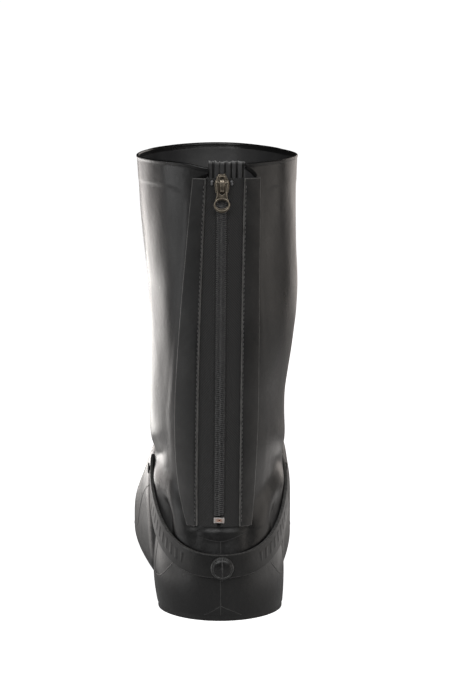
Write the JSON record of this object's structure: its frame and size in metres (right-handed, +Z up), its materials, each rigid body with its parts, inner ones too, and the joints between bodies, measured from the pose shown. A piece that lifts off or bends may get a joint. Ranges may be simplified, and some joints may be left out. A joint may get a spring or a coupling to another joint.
{
  "type": "zipped rubber riding overboot",
  "caption": "Tall left rubber overboot, open at the top, with a rear zip over a pleated gusset and a strap buttoned round the heel.",
  "frame": {"origin": "on the floor under the middle of the shaft, on the bottom of the heel lift", "axes": "+Z up the shaft, +Y towards the toe, +X towards the wearer's inner side"},
  "size_m": [0.1281, 0.3299, 0.3458],
  "materials": {
    "shell_rubber": "satin moulded rubber",
    "tread_rubber": "matt moulded rubber",
    "flap_rubber": "matt rubber sheet",
    "bellows_rubber": "matt rubber-coated cloth",
    "strap_rubber": "matt moulded rubber",
    "zip_tape": "woven twill tape",
    "thread": "twisted sewing thread",
    "coil_plastic": "satin monofilament",
    "slider_metal": "dark antique plating, worn at the edges",
    "stop_metal": "bright copper-coloured plating",
    "top_stop_metal": "dull coated metal"
  },
  "bodies": {
    "shell": {"boot_shell": "shell_rubber", "heel_lift": "tread_rubber", "tread": "tread_rubber", "rear_gusset": "bellows_rubber", "zip_bottom_stop": "stop_metal", "heel_stud": "strap_rubber", "left_side_stud": "strap_rubber", "right_side_stud": "strap_rubber"},
    "slider": {"slider_body": "slider_metal", "slider_crown": "slider_metal", "slider_lock_spring": "slider_metal"},
    "pull": {"pull_tab": "slider_metal"},
    "left_leaf": {"left_zip_flap": "flap_rubber", "left_zip_tape": "zip_tape", "left_zip_coil": "coil_plastic", "left_flap_stitching": "thread", "left_top_stop": "top_stop_metal"},
    "right_leaf": {"right_zip_flap": "flap_rubber", "right_zip_tape": "zip_tape", "right_zip_coil": "coil_plastic", "right_flap_stitching": "thread", "right_top_stop": "top_stop_metal"},
    "strap": {"heel_strap": "strap_rubber"}
  },
  "joints": [
    {"name": "zip_slide", "type": "slide", "parent": "shell", "child": "slider", "axis": [-0.0078, 0.0328, -0.9994], "range_m": [0, 0.24], "deforming": ["left_zip_tape", "right_zip_tape", "left_zip_coil", "right_zip_coil"]},
    {"name": "pull_tab_hinge", "type": "hinge", "parent": "slider", "child": "pull", "pos_m": [-0.00003, -0.07569, 0.3264], "axis": [-1, -0.0003, 0.0078], "range_deg": [0, 150]},
    {"name": "left_leaf_swing", "type": "hinge", "parent": "shell", "child": "left_leaf", "pos_m": [-0.0336, -0.048, 0.175], "axis": [-0.0078, 0.0328, -0.9994], "range_deg": [0, 46]},
    {"name": "right_leaf_swing", "type": "hinge", "parent": "shell", "child": "right_leaf", "pos_m": [0.0285, -0.0524, 0.175], "axis": [0.0078, -0.0328, 0.9994], "range_deg": [0, 46]},
    {"name": "strap_lift", "type": "hinge", "parent": "shell", "child": "strap", "pos_m": [0, 0.027, 0.0985], "axis": [-1, 0, 0], "range_deg": [0, 20], "deforming": ["heel_strap"]}
  ],
  "couplings": [
    {"joint": "left_leaf_swing", "follows": "zip_slide", "rad_per_m": 3.2725},
    {"joint": "right_leaf_swing", "follows": "zip_slide", "rad_per_m": 3.2725}
  ]
}
